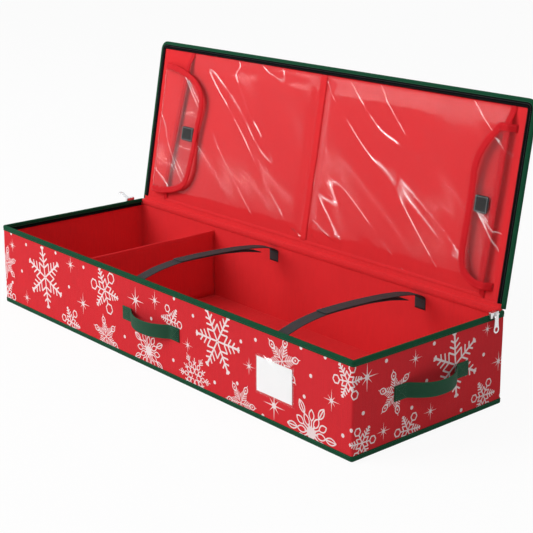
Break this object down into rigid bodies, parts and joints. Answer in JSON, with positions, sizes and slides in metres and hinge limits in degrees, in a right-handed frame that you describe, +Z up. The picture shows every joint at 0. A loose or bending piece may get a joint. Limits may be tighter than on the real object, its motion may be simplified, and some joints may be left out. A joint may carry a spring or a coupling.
{
  "type": "gift wrap organizer",
  "caption": "Long low fabric box with a zipped, hinged lid, clear lid pockets, an inner divider, hold-down straps and webbing carry handles",
  "frame": {"origin": "on the floor, at the centre of the box's underside, with the lid open", "axes": "+Z up, -Y towards the front with the front handle and label, +X to the right along the longest side"},
  "size_m": [1.0982, 0.4451, 0.5131],
  "materials": {
    "printed_red": "red woven polyester with a scattered white snowflake pattern, matt",
    "lining_red": "plain red non-woven polyester, matt",
    "binding_green": "dark green bias binding, stitched near its inner edge",
    "handle_green": "dark green polypropylene webbing, box stitched at its ends",
    "binding_red": "red bias binding",
    "zip_black": "black zip tape and nylon coil",
    "strap_black": "black hook and loop strap",
    "hook_black": "black hook and loop square",
    "board_grey": "grey stiffener, sewn in and out of sight",
    "clear_vinyl": "clear soft vinyl, glossy and slightly wavy",
    "card_white": "blank white card",
    "zip_metal": "bright die-cast zip slider and stamped pull tab"
  },
  "bodies": {
    "base": {"base_cover": "printed_red", "base_binding": "binding_green", "bottom_board": "board_grey", "bottom_lining": "lining_red", "outer_wrap": "printed_red", "wall_lining": "lining_red", "front_board": "board_grey", "back_board": "board_grey", "left_board": "board_grey", "right_board": "board_grey", "rim_binding": "binding_green", "base_zip_tape": "zip_black", "base_zip_coil": "zip_black", "hinge_lining": "lining_red", "hinge_spine": "printed_red", "divider_board": "board_grey", "divider_cover": "lining_red", "front_handle": "handle_green", "left_handle": "handle_green", "right_handle": "handle_green", "label_sleeve": "clear_vinyl", "strap_left_front": "strap_black", "strap_left_rear": "strap_black", "strap_right_front": "strap_black", "strap_right_rear": "strap_black"},
    "lid": {"lid_cover": "printed_red", "lid_board": "board_grey", "lid_lining": "lining_red", "lid_binding": "binding_green", "lid_zip_tape": "zip_black", "lid_zip_coil": "zip_black", "pocket_left": "clear_vinyl", "pocket_right": "clear_vinyl", "pocket_hem": "lining_red", "pocket_strip": "lining_red", "mouth_binding_left": "binding_red", "mouth_binding_right": "binding_red", "pocket_loop_left": "hook_black", "pocket_loop_right": "hook_black"},
    "flap_left": {"flap_left": "clear_vinyl", "flap_binding_left": "binding_red", "flap_hook_left": "hook_black"},
    "flap_right": {"flap_right": "clear_vinyl", "flap_binding_right": "binding_red", "flap_hook_right": "hook_black"},
    "slider_left": {"slider_left": "zip_metal"},
    "puller_left": {"puller_left": "zip_metal"},
    "slider_right": {"slider_right": "zip_metal"},
    "puller_right": {"puller_right": "zip_metal"},
    "label_card": {"label_card": "card_white"}
  },
  "joints": [
    {"name": "lid_hinge", "type": "hinge", "parent": "base", "child": "lid", "pos_m": [0, 0.178, 0.1655], "axis": [-1, 0, 0], "range_deg": [-100, 0], "deforming": ["strap_left_front", "strap_left_rear", "strap_right_front", "strap_right_rear"]},
    {"name": "flap_left_hinge", "type": "hinge", "parent": "lid", "child": "flap_left", "pos_m": [-0.482, 0.17844, 0.16542], "axis": [0, -0.1736, -0.9848], "range_deg": [0, 90]},
    {"name": "flap_right_hinge", "type": "hinge", "parent": "lid", "child": "flap_right", "pos_m": [0.482, 0.17844, 0.16542], "axis": [0, 0.1736, 0.9848], "range_deg": [0, 90]},
    {"name": "slider_left_run", "type": "slide", "parent": "base", "child": "slider_left", "axis": [0, -1, 0], "range_m": [0, 0.29]},
    {"name": "slider_right_run", "type": "slide", "parent": "base", "child": "slider_right", "axis": [0, -1, 0], "range_m": [0, 0.29]},
    {"name": "puller_left_pivot", "type": "hinge", "parent": "slider_left", "child": "puller_left", "pos_m": [-0.5233, 0.145, 0.168], "axis": [0, 1, 0], "range_deg": [-115, 65]},
    {"name": "puller_right_pivot", "type": "hinge", "parent": "slider_right", "child": "puller_right", "pos_m": [0.5233, 0.145, 0.168], "axis": [0, -1, 0], "range_deg": [-10, 170]},
    {"name": "label_card_slide", "type": "slide", "parent": "base", "child": "label_card", "axis": [1, 0, 0], "range_m": [0, 0.1]}
  ]
}
